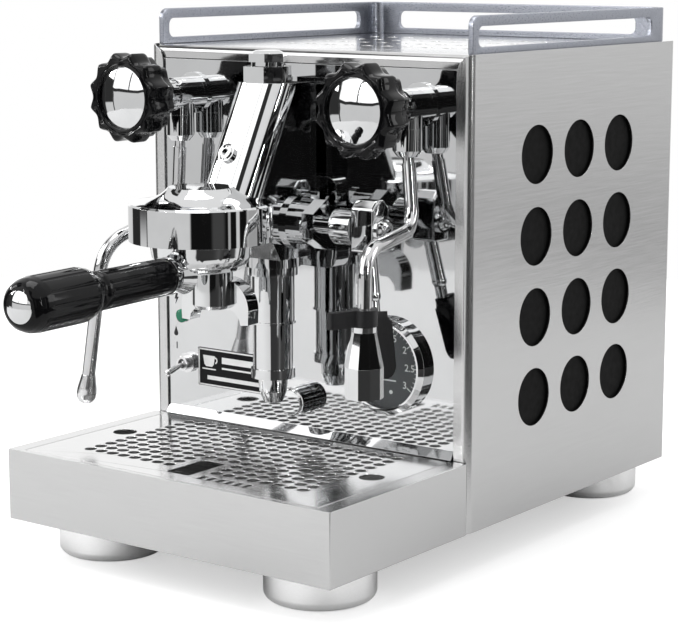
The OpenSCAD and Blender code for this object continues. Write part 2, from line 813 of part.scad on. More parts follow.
module water_nozzle() {
  color("#e0e3e6") placed() translate([117, 62, 0]) difference() {
    union() {
      translate([0, 0, 173.4]) cylinder(h = 3.4, r = 7.9);
      translate([0, 0, 151]) cylinder(h = 22.5, r1 = 12.2, r2 = 7.7, $fn = 10);
      translate([0, 0, 131.5]) cylinder(h = 19.6, r = 12.2, $fn = 10);
    }
    translate([0, 0, 130]) cylinder(h = 22, r = 9.6);
    translate([0, 0, 145]) cylinder(h = 40, r = 3);
  }
}

module wand_grip() {
  color("#202022") placed() translate([117, 62, 177.2]) difference() {
    union() {
      cylinder(h = 10.4, r = 8.4);
      rotate([0, 0, -109]) translate([6, -2.8, 0]) cube([18.2, 5.6, 10.4]);
      rotate([0, 0, -109]) translate([24.2, 0, 0]) cylinder(h = 10.4, r = 2.8);
    }
    translate([0, 0, -1]) cylinder(h = 20, r = wand_r);
  }
}

// ---------- panel fittings ----------

module gauge_case() {
  color("#e0e3e6") placed() translate([gauge_x, 0, gauge_z]) difference() {
    union() {
      rod_y(0, 146, panel_y, 0, gauge_r);
      rod_y(0, 143.2, 146.1, 0, gauge_r - 3, gauge_r);
      rod_y(0, panel_y - eps, 172, 0, 24);
    }
    rod_y(0, 142, 149.6, 0, 28.6);
    rod_y(0, 149, 170, 0, 22);
  }
}

module gauge_dial() {
  color("#4a4d50") placed() translate([gauge_x, 0, gauge_z]) rod_y(0, 148.8, 149.6, 0, 28.5);
}

module gauge_needle() {
  color("#101012") placed() translate([gauge_x, 0, gauge_z]) {
    rod_y(0, 146.9, 148.7, 0, 3.2);
    rotate([0, -62, 0]) box([-1, 147.4, -8], [1, 148.2, 21]);
  }
}

module gauge_lens() {
  color([0.9, 0.95, 1, 0.3]) placed() translate([gauge_x, 0, gauge_z]) rod_y(0, 145, 146.4, 0, 28.5);
}

module lamp() {
  color("#0b8f5a") placed() {
    rod_y(lamp_x, 149.4, panel_y, lamp_z, 4.9);
    rod_y(lamp_x, 148.2, 149.5, lamp_z, 3.4, 4.9);
    rod_y(lamp_x, panel_y - eps, 160, lamp_z, 4);
  }
}

module switch_body() {
  color("#cfd2d5") placed() difference() {
    union() {
      translate([switch_x, panel_y, switch_z]) rotate([90, 0, 0]) cylinder(h = 3, r = 7.4, $fn = 12);
      rod_y(switch_x, 143.6, panel_y, switch_z, 5.1);
      rod_y(switch_x, panel_y - eps, 158, switch_z, 5.1);
      box([switch_x - 6.5, 157, switch_z - 10], [switch_x + 6.5, 178, switch_z + 10]);
    }
    rod_y(switch_x, 142, 150, switch_z, 3.4);
  }
}

module switch_lever() {
  a = [switch_x, 146.5, switch_z];
  b = [switch_x - 1, 130, switch_z - 4.6];
  len = norm(b - a);
  color("#dcdfe2") placed() along(a, b) translate([0, 0, -len]) rotate_extrude() polygon([
    [0, -2.4], [1.4, -2], [2.2, -1], [2.4, 0], [2, 1.4], [1.5, 2.2], [2.3, len - 1.2], [2.6, len + 0.2],
    [2.3, len + 1.5], [1.4, len + 2.4], [0, len + 2.7]
  ]);
}

module nameplate() {
  color("#17171a") placed() box([-96.2, panel_y - 1, 98.3], [-21, panel_y, 125.8]);
}

module panel_knob() {
  color("#e6e8ea") placed() {
    rod_y(cap_x, panel_y - 3, panel_y + 8, cap_z, 4);
    difference() {
      rod_y(cap_x, 138.4, panel_y - 0.6, cap_z, 10.2);
      for (a = [0 : 20 : 359]) translate([cap_x, 0, cap_z]) rotate([0, a, 0])
        rod_y(10.5, 141, panel_y, 0, 0.7, 0.7, $fn = 6);
    }
    rod_y(cap_x, 136.8, 138.5, cap_z, 8.4, 9.7);
  }
}

// ---------- inside ----------

module boiler() {
  color("#b8793f") placed() difference() {
    union() {
      rod_x(-92, 92, 230, 225, 55);
      for (x = [-96, 86]) rod_x(x, x + 10, 230, 225, 58);
    }
    rod_x(-89, 89, 230, 225, 52.5);
  }
}

module heating_element() {
  color("#9a9da1") placed() {
    for (z = [195, 215]) rod_x(-60, 84, 230, z, 4);
    translate([-60, 230, 205]) rotate([90, 0, 0]) rotate([0, 0, 90])
      rotate_extrude(angle = 180) translate([10, 0]) circle(r = 4);
    rod_x(84, 88.9, 230, 205, 20);
  }
}

module pressurestat() {
  color("#2c2c30") placed() {
    translate([0, 230, 280.4]) cylinder(h = 14, r = 6);
    translate([0, 230, 294.3]) cylinder(h = 22, r = 17);
  }
}

module group_pipes() {
  color("#b8793f") placed() for (z = [212, 240]) rod_y(0, 145.2, 178, z, 5.9);
}

module steam_pipe() {
  color("#b8793f") placed() pipe([
    [-valve_x, 166, valve_z], [-valve_x, 200, valve_z], [-70, 230, valve_z], [-70, 230, 278.5]
  ], pipe_bends, 4);
}

module water_pipe() {
  color("#b8793f") placed() pipe([
    [valve_x, 166, valve_z], [valve_x, 200, valve_z], [70, 230, valve_z], [70, 230, 278.5]
  ], pipe_bends, 4);
}

module water_tank() {
  x = 118;
  color([0.8, 0.85, 0.9, 0.6]) placed() difference() {
    box([-x, 300, 100], [x, 414, 322]);
    box([-x + 2.5, 302.5, 102.5], [x - 2.5, 411.5, 323]);
  }
}

module pump() {
  color("#a9acb0") placed() {
    rod_y(-70, 200, 290, 72, 22);
    rod_y(-70, 188, 200.1, 72, 8);
    rod_y(-70, 289.9, 300, 72, 8);
    box([-92, 215, floor_z], [-48, 275, 56]);
  }
}

module control_box() {
  color("#2e2e33") placed() {
    box([20, 180, floor_z], [110, 260, 92]);
    box([20, 170, floor_z], [110, 180.1, 32]);
  }
}

module power_inlet() {
  color("#1b1b1d") placed() difference() {
    union() {
      box([66.2, 398, 48.2], [93.8, body_d - 2.4, 69.8]);
      box([62, body_d - 1.4, 44], [98, body_d - 0.2, 74]);
      box([66.2, body_d - 2.6, 48.2], [93.8, body_d - 1.2, 69.8]);
    }
    box([69, 407, 51], [91, body_d + 1, 67]);
  }
}

base_frame();
side_panel_left();
side_panel_right();
front_panel();
rear_panel();
cup_tray();
cup_rail();
feet();
drip_tray();
drip_grid();
group_body();
group_cap();
group_plug();
valve_housing();
drain_nozzle();
shower_screen();
group_gasket();
shaft_nut();
lever_shaft();
lever_block();
lever_rod();
lever_grip();
portafilter_head();
filter_basket();
spout();
handle_ferrule();
handle_grip();
handle_cap();
valve_left();
valve_right();
joint_nut_left();
joint_nut_right();
knob_left();
knob_right();
knob_disc_left();
knob_disc_right();
wand_left();
wand_right();
steam_tip();
water_nozzle();
wand_grip();
gauge_case();
gauge_dial();
gauge_needle();
gauge_lens();
lamp();
switch_body();
switch_lever();
nameplate();
panel_knob();
boiler();
heating_element();
pressurestat();
group_pipes();
steam_pipe();
water_pipe();
water_tank();
pump();
control_box();
power_inlet();
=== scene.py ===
import math

import bmesh
import bpy
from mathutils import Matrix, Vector


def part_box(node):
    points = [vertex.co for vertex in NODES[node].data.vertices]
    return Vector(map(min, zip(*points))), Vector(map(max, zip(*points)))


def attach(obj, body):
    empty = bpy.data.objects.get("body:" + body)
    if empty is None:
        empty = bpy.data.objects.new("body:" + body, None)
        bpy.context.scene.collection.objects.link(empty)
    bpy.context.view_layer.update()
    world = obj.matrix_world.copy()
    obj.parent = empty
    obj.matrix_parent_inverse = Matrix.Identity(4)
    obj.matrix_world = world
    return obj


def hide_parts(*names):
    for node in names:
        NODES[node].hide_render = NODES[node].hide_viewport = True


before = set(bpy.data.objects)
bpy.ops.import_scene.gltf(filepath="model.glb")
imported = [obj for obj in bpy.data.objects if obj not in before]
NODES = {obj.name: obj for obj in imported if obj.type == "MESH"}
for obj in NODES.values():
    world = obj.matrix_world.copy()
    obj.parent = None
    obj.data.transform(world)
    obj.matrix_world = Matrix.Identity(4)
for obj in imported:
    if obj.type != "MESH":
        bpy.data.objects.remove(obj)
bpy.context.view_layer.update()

MM = 0.001
# the machine's own y is 0 at the drip tray's front, this many mm before the frame's origin
FRAME_Y = 145.683


def at(x, y, z):
    """A point given in the machine's own millimetres, in the frame's metres."""
    return Vector((x * MM, (y - FRAME_Y) * MM, z * MM))


# ---------------------------------------------------------------- shader helpers

def new_mat(name):
    """A material with its nodes, its links and its Principled BSDF."""
    m = bpy.data.materials.new(name)
    m.use_nodes = True
    return m, m.node_tree.nodes, m.node_tree.links, m.node_tree.nodes["Principled BSDF"]


def grey(v):
    return (v, v, v)


def ramp(nodes, stops):
    r = nodes.new("ShaderNodeValToRGB")
    while len(r.color_ramp.elements) < len(stops):
        r.color_ramp.elements.new(0.5)
    for e, (pos, colour) in zip(r.color_ramp.elements, stops):
        e.position = pos
        e.color = (*colour, 1)
    return r


def noise(nodes, links, scale, stretch, detail):
    co = nodes.new("ShaderNodeTexCoord")
    mp = nodes.new("ShaderNodeMapping")
    mp.inputs["Scale"].default_value = stretch
    nz = nodes.new("ShaderNodeTexNoise")
    nz.inputs["Scale"].default_value = scale
    nz.inputs["Detail"].default_value = detail
    links.new(co.outputs["Object"], mp.inputs["Vector"])
    links.new(mp.outputs["Vector"], nz.inputs["Vector"])
    return nz


def surface(name, base, rough, metal=0.0, vary=0.06, vary_scale=120, bump=0.0, bump_scale=400,
            stretch=(1, 1, 1), coat=0.0, tint=0.03, spec=0.5):
    """Principled surface whose colour and roughness vary a little, with an optional fine bump."""
    m, n, l, b = new_mat(name)
    nz = noise(n, l, vary_scale, stretch, 3.0)
    lo = tuple(max(0.0, c * (1 - tint)) for c in base)
    hi = tuple(min(1.0, c * (1 + tint)) for c in base)
    colour = ramp(n, [(0.3, lo), (0.7, hi)])
    roughness = ramp(n, [(0.3, grey(max(0.0, rough * (1 - vary)))), (0.7, grey(rough * (1 + vary)))])
    for r, socket in ((colour, "Base Color"), (roughness, "Roughness")):
        l.new(nz.outputs["Fac"], r.inputs["Fac"])
        l.new(r.outputs["Color"], b.inputs[socket])
    b.inputs["Metallic"].default_value = metal
    b.inputs["Specular IOR Level"].default_value = spec
    if coat:
        b.inputs["Coat Weight"].default_value = coat
        b.inputs["Coat Roughness"].default_value = 0.04
    if bump:
        fine = noise(n, l, bump_scale, stretch, 2.0)
        bp = n.new("ShaderNodeBump")
        bp.inputs["Strength"].default_value = bump
        bp.inputs["Distance"].default_value = 0.0004
        l.new(fine.outputs["Fac"], bp.inputs["Height"])
        l.new(bp.outputs["Normal"], b.inputs["Normal"])
    return m


def metal(name, base, rough, **more):
    return surface(name, base, rough, metal=1.0, **more)


class Graph:
    """Short calls for the math nodes of one node tree."""

    def __init__(self, nodes, links):
        self.nodes, self.links = nodes, links

    def math(self, operation, *values):
        k = self.nodes.new("ShaderNodeMath")
        k.operation = operation
        for socket, v in zip(k.inputs, values):
            if isinstance(v, (int, float)):
                socket.default_value = v
            else:
                self.links.new(v, socket)
        return k.outputs[0]

    def step(self, v, lo, hi):
        """0 below lo, 1 above hi, smooth between."""
        k = self.nodes.new("ShaderNodeMapRange")
        k.interpolation_type = "SMOOTHSTEP"
        self.links.new(v, k.inputs["Value"])
        k.inputs["From Min"].default_value = lo
        k.inputs["From Max"].default_value = hi
        return k.outputs["Result"]

    def between(self, v, rise, fall):
        """1 between two edges, each an interval over which the value changes, and 0 outside."""
        return self.math("SUBTRACT", self.step(v, *rise), self.step(v, *fall))

    def band(self, v, lo, hi, soft):
        return self.between(v, (lo - soft, lo + soft), (hi - soft, hi + soft))

    def azimuth(self, x, y):
        """Degrees round the machine: 0 towards its front (-Y), 90 towards +X."""
        return self.math("MULTIPLY", self.math("ARCTAN2", x, self.math("MULTIPLY", y, -1)), math.degrees(1))

    def mix(self, base, value, mask):
        """base where the mask is 0, value where it is 1."""
        k = self.nodes.new("ShaderNodeMix")
        k.data_type = "FLOAT"
        self.links.new(mask, k.inputs["Factor"])
        self.links.new(base, k.inputs["A"])
        k.inputs["B"].default_value = value
        return k.outputs["Result"]


# ---------------------------------------------------------------- materials

CHROME = (0.66, 0.665, 0.67)
STEEL = (0.60, 0.60, 0.60)
GRAIN = dict(vary=0.10, vary_scale=900, bump=0.06, bump_scale=900)      # brushed sheet

chrome = metal("chrome_plate", CHROME, 0.035, vary=0.3, vary_scale=60)
satin_side = metal("satin_steel_side", STEEL, 0.24, stretch=(1, 0.03, 1), **GRAIN)
satin_front = metal("satin_steel_front", STEEL, 0.24, stretch=(0.03, 1, 1), **GRAIN)
mirror = metal("polished_steel_panel", (0.60, 0.605, 0.61), 0.045, vary=0.2, vary_scale=30, bump=0.02,
               bump_scale=14)
tray_top = metal("polished_steel_tray", STEEL, 0.12, vary=0.15, vary_scale=40, bump=0.03, bump_scale=30)
grid_steel = metal("grid_steel", (0.62, 0.62, 0.62), 0.15, vary=0.15, vary_scale=60, bump=0.03, bump_scale=60)
# the cup rail's steel is darker and bluer than the other steel: painted shade, for the shade the rail stands
# in
rail_steel = metal("rail_steel", (0.34, 0.355, 0.40), 0.30, vary=0.15, vary_scale=500, bump=0.06,
                   bump_scale=800, stretch=(1, 1, 6))
foot_satin = metal("foot_satin", (0.97, 0.97, 0.97), 0.34, vary=0.12, vary_scale=500, bump=0.08,
                   bump_scale=700, stretch=(1, 1, 8))
black_lacquer = surface("black_lacquer", (0.004, 0.004, 0.004), 0.6, vary=0.10, vary_scale=200, bump=0.05,
                        bump_scale=900, spec=0.08)
bakelite = surface("black_bakelite", (0.004, 0.004, 0.0045), 0.07, vary=0.25, vary_scale=90, bump=0.02,
                   bump_scale=260, spec=0.17)
tube = metal("polished_tube", (0.60, 0.60, 0.605), 0.10, vary=0.2, vary_scale=80, bump=0.02, bump_scale=200)
satin_chrome = metal("satin_chrome", (0.74, 0.74, 0.745), 0.22, vary=0.2, vary_scale=80)
rubber = surface("black_rubber", (0.012, 0.012, 0.013), 0.42, vary=0.15, vary_scale=300, bump=0.20,
                 bump_scale=1400, spec=0.35)
plate_enamel = surface("plate_enamel", (0.006, 0.006, 0.007), 0.20, vary=0.15, vary_scale=200, spec=0.12)
plate_print = surface("plate_print", (0.80, 0.80, 0.80), 0.30, vary=0.10, vary_scale=200, spec=0.3)
dial_face = surface("dial_face", (0.105, 0.107, 0.112), 0.42, vary=0.10, vary_scale=300, spec=0.2)
dial_print = surface("dial_print", (0.80, 0.80, 0.79), 0.5, vary=0.10, vary_scale=300, spec=0.2)
copper = metal("copper", (0.62, 0.30, 0.17), 0.28, vary=0.25, vary_scale=40, bump=0.10, bump_scale=90,
               tint=0.12)
plain_steel = metal("plain_steel", (0.52, 0.52, 0.53), 0.30, vary=0.2, vary_scale=90)
tank_plastic = surface("tank_plastic", (0.62, 0.65, 0.67), 0.35, vary=0.10, vary_scale=60)
inside_plastic = surface("inside_plastic", (0.02, 0.02, 0.022), 0.45, vary=0.15, bump=0.10, bump_scale=700)
cast = metal("cast_aluminium", (0.50, 0.51, 0.52), 0.42, vary=0.15, bump=0.25, bump_scale=500)
lamp_lens = surface("lamp_lens", (0.0, 0.13, 0.065), 0.12, vary=0.2, vary_scale=200, coat=0.3, tint=0.15,
                    spec=0.3)
lamp_sockets = lamp_lens.node_tree.nodes["Principled BSDF"].inputs
lamp_sockets["Emission Color"].default_value = (0.0, 0.5, 0.25, 1)
lamp_sockets["Emission Strength"].default_value = 0.05

glass, _, _, glass_shader = new_mat("gauge_glass")
glass_shader.inputs["Base Color"].default_value = (0.96, 0.98, 0.98, 1)
glass_shader.inputs["Roughness"].default_value = 0.02
glass_shader.inputs["Transmission Weight"].default_value = 1.0
glass_shader.inputs["IOR"].default_value = 1.12

# every node that isn't chrome plated
LOOKS = (
    (black_lacquer, ("base_frame",)),
    (satin_side, ("side_panel_left", "side_panel_right")),
    (satin_front, ("rear_panel", "drip_tray")),
    (mirror, ("front_panel",)),
    (tray_top, ("cup_tray",)),
    (rail_steel, ("cup_rail",)),
    (foot_satin, ("feet",)),
    (grid_steel, ("drip_grid",)),
    (plain_steel, ("shower_screen", "filter_basket", "heating_element")),
    (rubber, ("group_gasket", "wand_grip")),
    (bakelite, ("lever_grip", "handle_grip", "knob_left", "knob_right", "gauge_needle")),
    (tube, ("wand_left", "wand_right")),
    (satin_chrome, ("steam_tip", "switch_body", "switch_lever")),
    (dial_face, ("gauge_dial",)),
    (glass, ("gauge_lens",)),
    (lamp_lens, ("lamp",)),
    (plate_enamel, ("nameplate",)),
    (copper, ("boiler", "group_pipes", "steam_pipe", "water_pipe")),
    (inside_plastic, ("pressurestat", "control_box", "power_inlet")),
    (tank_plastic, ("water_tank",)),
    (cast, ("pump",)),
)
look_of = {name: mat for mat, names in LOOKS for name in names}
for name, o in NODES.items():
    o.data.materials.clear()
    o.data.materials.append(look_of.get(name, chrome))

# the imported faces are welded, sharp edges get a small round of this many mm, and shallow steps are
# shaded smooth
WELD_DISTANCE = 1e-6
SHARP_FROM = math.radians(34)
ROUND_EDGE = {
    0.12: ("nameplate",),
    0.2: ("front_panel", "rear_panel", "group_gasket", "knob_disc_left", "knob_disc_right"),
    0.25: ("drip_grid",),
    0.3: ("cup_tray", "wand_left", "wand_right", "switch_lever"),
    0.4: ("side_panel_left", "side_panel_right", "group_plug", "lever_rod", "steam_tip"),
    0.5: ("drain_nozzle", "handle_grip", "handle_cap", "valve_left", "valve_right", "water_nozzle", "lamp",
          "switch_body"),
    0.6: ("valve_housing", "panel_knob"),
    0.7: ("cup_rail", "handle_ferrule"),
    0.8: ("feet", "lever_shaft", "joint_nut_left", "joint_nut_right", "wand_grip"),
    0.9: ("drip_tray", "group_cap"),
    1.0: ("portafilter_head",),
    1.4: ("group_body", "gauge_case"),
    1.6: ("shaft_nut", "lever_block"),
    2.2: ("lever_grip",),
    2.4: ("spout",),
}
for width, names in ROUND_EDGE.items():
    for name in names:
        modifiers = NODES[name].modifiers
        modifiers.new("weld", "WELD").merge_threshold = WELD_DISTANCE
        edge = modifiers.new("edge", "BEVEL")
        edge.width = width * MM
        edge.segments = 3 if width > 1.2 else 2
        edge.limit_method = "ANGLE"
        edge.angle_limit = SHARP_FROM
        normals = modifiers.new("normals", "WEIGHTED_NORMAL")
        normals.mode = "FACE_AREA"
        normals.weight = 60
        normals.keep_sharp = False


# ---------------------------------------------------------------- piece helpers

def piece(name, verts, faces, mat, body, smooth_angle=None):
    """A mesh with clean normals that rides one body; smooth below smooth_angle degrees, flat without it."""
    me = bpy.data.meshes.new(name)
    me.from_pydata([tuple(v) for v in verts], [], faces)
    bm = bmesh.new()
    bm.from_mesh(me)
    bmesh.ops.remove_doubles(bm, verts=bm.verts, dist=WELD_DISTANCE)
    bmesh.ops.recalc_face_normals(bm, faces=bm.faces)
    bm.to_mesh(me)
    bm.free()
    o = bpy.data.objects.new(name, me)
    bpy.context.collection.objects.link(o)
    me.materials.append(mat)
    if smooth_angle is not None:
        me.shade_smooth()
        me.set_sharp_from_angle(angle=math.radians(smooth_angle))
    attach(o, body)
    return o


class Flat:
    """Collects thin raised marks on a plane that faces the front; x to the right, z up, in mm."""

    def __init__(self, y, thick):
        self.y, self.thick, self.verts, self.faces = y, thick, [], []

    def poly(self, points):
        n, k = len(self.verts), len(points)
        self.verts += [at(x, self.y, z) for x, z in points]
        self.verts += [at(x, self.y - self.thick, z) for x, z in points]
        self.faces += [tuple(range(n + k, n + 2 * k)), tuple(reversed(range(n, n + k)))]
        self.faces += [(n + i, n + (i + 1) % k, n + k + (i + 1) % k, n + k + i) for i in range(k)]

    def bar(self, x, z, w, h, turn=0.0):
        c, s = math.cos(turn), math.sin(turn)
        corners = [(-w / 2, -h / 2), (w / 2, -h / 2), (w / 2, h / 2), (-w / 2, h / 2)]
        self.poly([(x + c * a - s * b, z + s * a + c * b) for a, b in corners])

    def disc(self, x, z, r, n=20):
        turns = [2 * math.pi * i / n for i in range(n)]
        self.poly([(x + r * math.cos(t), z + r * math.sin(t)) for t in turns])

    def ring(self, x, z, r0, r1, a0, a1, n):
        """Arc band, angles in degrees clockwise from the top."""
        for i in range(n):
            p, q = (math.radians(a0 + (a1 - a0) * k / n) for k in (i, i + 1))
            corners = ((r0, p), (r1, p), (r1, q), (r0, q))
            self.poly([(x + r * math.sin(t), z + r * math.cos(t)) for r, t in corners])

    def number(self, figures, x, z, size):
        curve = bpy.data.curves.new("figure", "FONT")
        curve.body, curve.size, curve.align_x, curve.align_y = figures, size, "CENTER", "CENTER"
        curve.offset = 0.012 * size
        holder = bpy.data.objects.new("figure", curve)
        me = bpy.data.meshes.new_from_object(holder)
        n = len(self.verts)
        self.verts += [at(x + v.co.x, self.y - self.thick, z + v.co.y) for v in me.vertices]
        self.faces += [tuple(n + i for i in p.vertices) for p in me.polygons]
        bpy.data.objects.remove(holder)
        bpy.data.curves.remove(curve)
        bpy.data.meshes.remove(me)

    def make(self, name, mat, body):
        return piece(name, self.verts, self.faces, mat, body)


def turned(name, cx, cz, profile, notch, mat, body, n, smooth_angle):
    """Turned about the Y axis through (cx, cz).

    The profile is [(radius, y, share of the notch)], and notch(angle) gives a notch's depth.
    """
    verts, faces = [], []
    for r, y, share in profile:
        for i in range(n):
            a = 2 * math.pi * i / n
            rr = r - share * notch(a)
            verts.append(at(cx + rr * math.cos(a), y, cz + rr * math.sin(a)))
    for j in range(len(profile) - 1):
        for i in range(n):
            k = (i + 1) % n
            faces.append((j * n + i, j * n + k, (j + 1) * n + k, (j + 1) * n + i))
    return piece(name, verts, faces, mat, body, smooth_angle)


# ---------------------------------------------------------------- valve knobs

KNOB_X, KNOB_Y, KNOB_Z = 97.2, 75.0, 308.2      # axis of a knob, and its front face
KNOB_LOBES = 12
NOTCH_DEPTH = 3.3
KNOB_BODY = 31.0
# radius, distance behind the front face, share of the notches: in over the rim, down the grip, in to the stem
KNOB_PROFILE = [
    (21.3, 4.0, 0), (21.3, 0.8, 0), (21.6, 0.35, 0), (22.3, 0.2, 0), (23.0, 0.6, 0), (23.7, 1.1, 0.03),
    (24.5, 0.9, 0.15), (25.5, 0.3, 0.35), (26.8, 0, 0.55), (28.2, 0.3, 0.8), (29.6, 1.2, 1), (30.5, 2.4, 1),
    (KNOB_BODY, 4.2, 1), (KNOB_BODY, 9.0, 1), (KNOB_BODY, 14.0, 1), (30.7, 16.0, 1), (30.0, 17.4, 1),
    (29.0, 18.2, 0.95), (28.3, 18.9, 0.9), (27.9, 20.0, 0.85), (27.7, 24.0, 0.8), (26.8, 25.5, 0.7),
    (25.2, 26.0, 0.5), (12.0, 26.0, 0), (11.0, 25.0, 0), (11.0, 16.0, 0)]


def scallop(a):
    """How deep a notch cuts into the rim at angle a, with round lobes between the notches."""
    t = abs(((a * KNOB_LOBES / (2 * math.pi) + 0.5) % 1.0) - 0.5) * 2
    return NOTCH_DEPTH * max(0.0, 0.5 + 0.5 * math.cos(math.pi * t)) ** 0.7


for side, sign in (("left", -1), ("right", 1)):
    profile = [(r, KNOB_Y + behind, share) for r, behind, share in KNOB_PROFILE]
    o = turned("knob_shell_" + side, sign * KNOB_X, KNOB_Z, profile, scallop, bakelite, "knob_" + side,
               288, 40)
    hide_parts("knob_" + side)

# ---------------------------------------------------------------- pressure gauge: a scale from 0 to 3

SCALE_START, SCALE_END = -98, 127       # degrees clockwise from the top
SCALE_STEPS, STEPS_PER_FIGURE = 30, 5
STEP_ANGLE = (SCALE_END - SCALE_START) / SCALE_STEPS
TICK_OUTER, ARC_OUTER, FIGURE_R, FIGURE_SIZE = 25.8, 27.0, 19.6, 6.8

dial_lo, dial_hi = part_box("gauge_dial")
GAUGE_X, GAUGE_Z = (dial_lo.x + dial_hi.x) / 2 / MM, (dial_lo.z + dial_hi.z) / 2 / MM
dial = Flat(dial_lo.y / MM + FRAME_Y - 0.02, 0.12)
for i in range(SCALE_STEPS + 1):
    a = math.radians(SCALE_START + STEP_ANGLE * i)
    width, length = (0.7, 4.0) if i % STEPS_PER_FIGURE == 0 else (0.35, 2.0)
    r = TICK_OUTER - length / 2
    dial.bar(GAUGE_X + r * math.sin(a), GAUGE_Z + r * math.cos(a), width, length, -a)
dial.ring(GAUGE_X, GAUGE_Z, ARC_OUTER - 0.4, ARC_OUTER, SCALE_START, SCALE_END, 96)
for i, figures in enumerate(("0", "0.5", "1", "1.5", "2", "2.5", "3")):
    a = math.radians(SCALE_START + STEP_ANGLE * STEPS_PER_FIGURE * i)
    dial.number(figures, GAUGE_X + FIGURE_R * math.sin(a), GAUGE_Z + FIGURE_R * math.cos(a), FIGURE_SIZE)
for x in (-4.4, 4.4):
    dial.disc(GAUGE_X + x, GAUGE_Z - 17.5, 1.4)
dial.bar(GAUGE_X + 1, GAUGE_Z - 9.6, 15, 1.0)
dial.make("gauge_scale", dial_print, "machine")

# ---------------------------------------------------------------- nameplate: a border, a cup outline, bars

PLATE_FRONT = 150.8
PLATE_LEFT, PLATE_RIGHT, PLATE_LOW, PLATE_HIGH = -96.2, -21.0, 98.3, 125.8
BORDER_IN, BORDER_W = 0.9, 1.0
BAR_X = -52.0

plate = Flat(PLATE_FRONT - 0.01, 0.14)
for z in (PLATE_LOW + BORDER_IN, PLATE_HIGH - BORDER_IN):
    plate.bar((PLATE_LEFT + PLATE_RIGHT) / 2, z, PLATE_RIGHT - PLATE_LEFT - 0.8, BORDER_W)
for x in (PLATE_LEFT + BORDER_IN, PLATE_RIGHT - BORDER_IN):
    plate.bar(x, (PLATE_LOW + PLATE_HIGH) / 2, BORDER_W, PLATE_HIGH - PLATE_LOW - 0.8)
plate.poly([(-91.5, 120.6), (-90.4, 114.2), (-88.8, 112.6), (-83.2, 112.6), (-81.6, 114.2), (-80.5, 120.6)])
plate.ring(-80.6, 117.4, 1.5, 2.5, 0, 170, 16)
plate.bar(-86, 110.8, 12.5, 0.9)
plate.bar(BAR_X, 118.2, 44, 4.6)
plate.bar(BAR_X, 112.4, 44, 1.3)
plate.bar(-58.6, 104.6, 58, 2.9)
plate.make("nameplate_marks", plate_print, "machine")

# ---------------------------------------------------------------- small signs by the lamp and the switch

PANEL_FRONT = 151.78
DROP_X, DROP_Z, DROP_R = -117.9, 133.4, 1.9

signs = Flat(PANEL_FRONT, 0.10)
signs.poly([(-117.6, 163.2), (-115.4, 163.2), (-116.6, 160.2), (-115.0, 160.2), (-118.2, 154.8),
            (-117.2, 158.6), (-118.8, 158.6)])
drop_turns = [math.radians(a) for a in range(150, 391, 20)]
drop_round = [(DROP_X + DROP_R * math.cos(t), DROP_Z + DROP_R * math.sin(t)) for t in drop_turns]
signs.poly(drop_round + [(DROP_X, 138.6)])
signs.bar(-117.2, 124.6, 0.8, 5.0)
signs.make("panel_signs", rubber, "machine")


# ---------------------------------------------------------------- lights

def area(name, place, target, size_x, size_y, power):
    """A rectangular light in metres and watts, that the camera doesn't see."""
    d = bpy.data.lights.new(name, "AREA")
    d.shape = "RECTANGLE"
    d.size, d.size_y, d.energy = size_x, size_y, power
    o = bpy.data.objects.new(name, d)
    bpy.context.collection.objects.link(o)
    o.location = place
    o.rotation_mode = "QUATERNION"
    o.rotation_quaternion = (Vector(target) - Vector(place)).to_track_quat("-Z", "Y")
    o.visible_camera = False


BODY_MIDDLE, GROUP_MIDDLE = (0, 0, 0.2), (0, 0, 0.25)
area("light_top", (-0.2, -0.1, 1.9), BODY_MIDDLE, 1.2, 0.9, 14)
area("light_left", (-1.7, -0.7, 1.1), BODY_MIDDLE, 0.8, 0.8, 8)
area("light_right", (1.7, 1.3, 1.0), BODY_MIDDLE, 0.9, 0.9, 7)
area("strip_front", (-0.55, -1.5, 0.95), GROUP_MIDDLE, 0.03, 0.9, 5.0)
area("strip_left", (-1.5, -0.45, 0.75), GROUP_MIDDLE, 0.9, 0.03, 4.5)
area("strip_right", (1.45, -0.35, 0.65), GROUP_MIDDLE, 0.02, 0.8, 3.0)

# ---------------------------------------------------------------- floor

FLOOR_R = 1.25
FLOOR_GREY, CARD_GREY = 0.62, 0.02
FLOOR_GLOW = 0.52

bm = bmesh.new()
bmesh.ops.create_circle(bm, cap_ends=True, segments=96, radius=FLOOR_R)
floor_mesh = bpy.data.meshes.new("floor")
bm.to_mesh(floor_mesh)
bm.free()
floor = bpy.data.objects.new("floor", floor_mesh)
bpy.context.collection.objects.link(floor)
floor.location = (0, 0, -0.0002)
floor_mat, floor_nodes, floor_links, floor_shader = new_mat("pale_floor")
floor_shader.inputs["Roughness"].default_value = 0.55
floor_shader.inputs["Specular IOR Level"].default_value = 0.1
floor_shader.inputs["Emission Color"].default_value = (1, 1, 1, 1)

# two dark cards lie on the floor at the sides, seen only as reflections in the polished parts
g = Graph(floor_nodes, floor_links)
floor_co = floor_nodes.new("ShaderNodeTexCoord")
floor_xyz = floor_nodes.new("ShaderNodeSeparateXYZ")
floor_links.new(floor_co.outputs["Object"], floor_xyz.inputs[0])
x, y, _ = floor_xyz.outputs
turn = g.azimuth(x, y)
reach = g.math("SQRT", g.math("ADD", g.math("MULTIPLY", x, x), g.math("MULTIPLY", y, y)))
card_right = g.math("MULTIPLY", g.between(turn, (22, 26), (112, 120)), g.step(reach, 0.42, 0.46))
card_left = g.math("MULTIPLY", g.between(turn, (-98, -94), (-72, -69)), g.step(reach, 0.5, 0.54))
seen = floor_nodes.new("ShaderNodeLightPath").outputs["Is Camera Ray"]
card = g.math("MULTIPLY", g.math("MAXIMUM", card_right, card_left), g.math("SUBTRACT", 1.0, seen))
floor_colour = ramp(floor_nodes, [(0.0, grey(FLOOR_GREY)), (1.0, grey(CARD_GREY))])
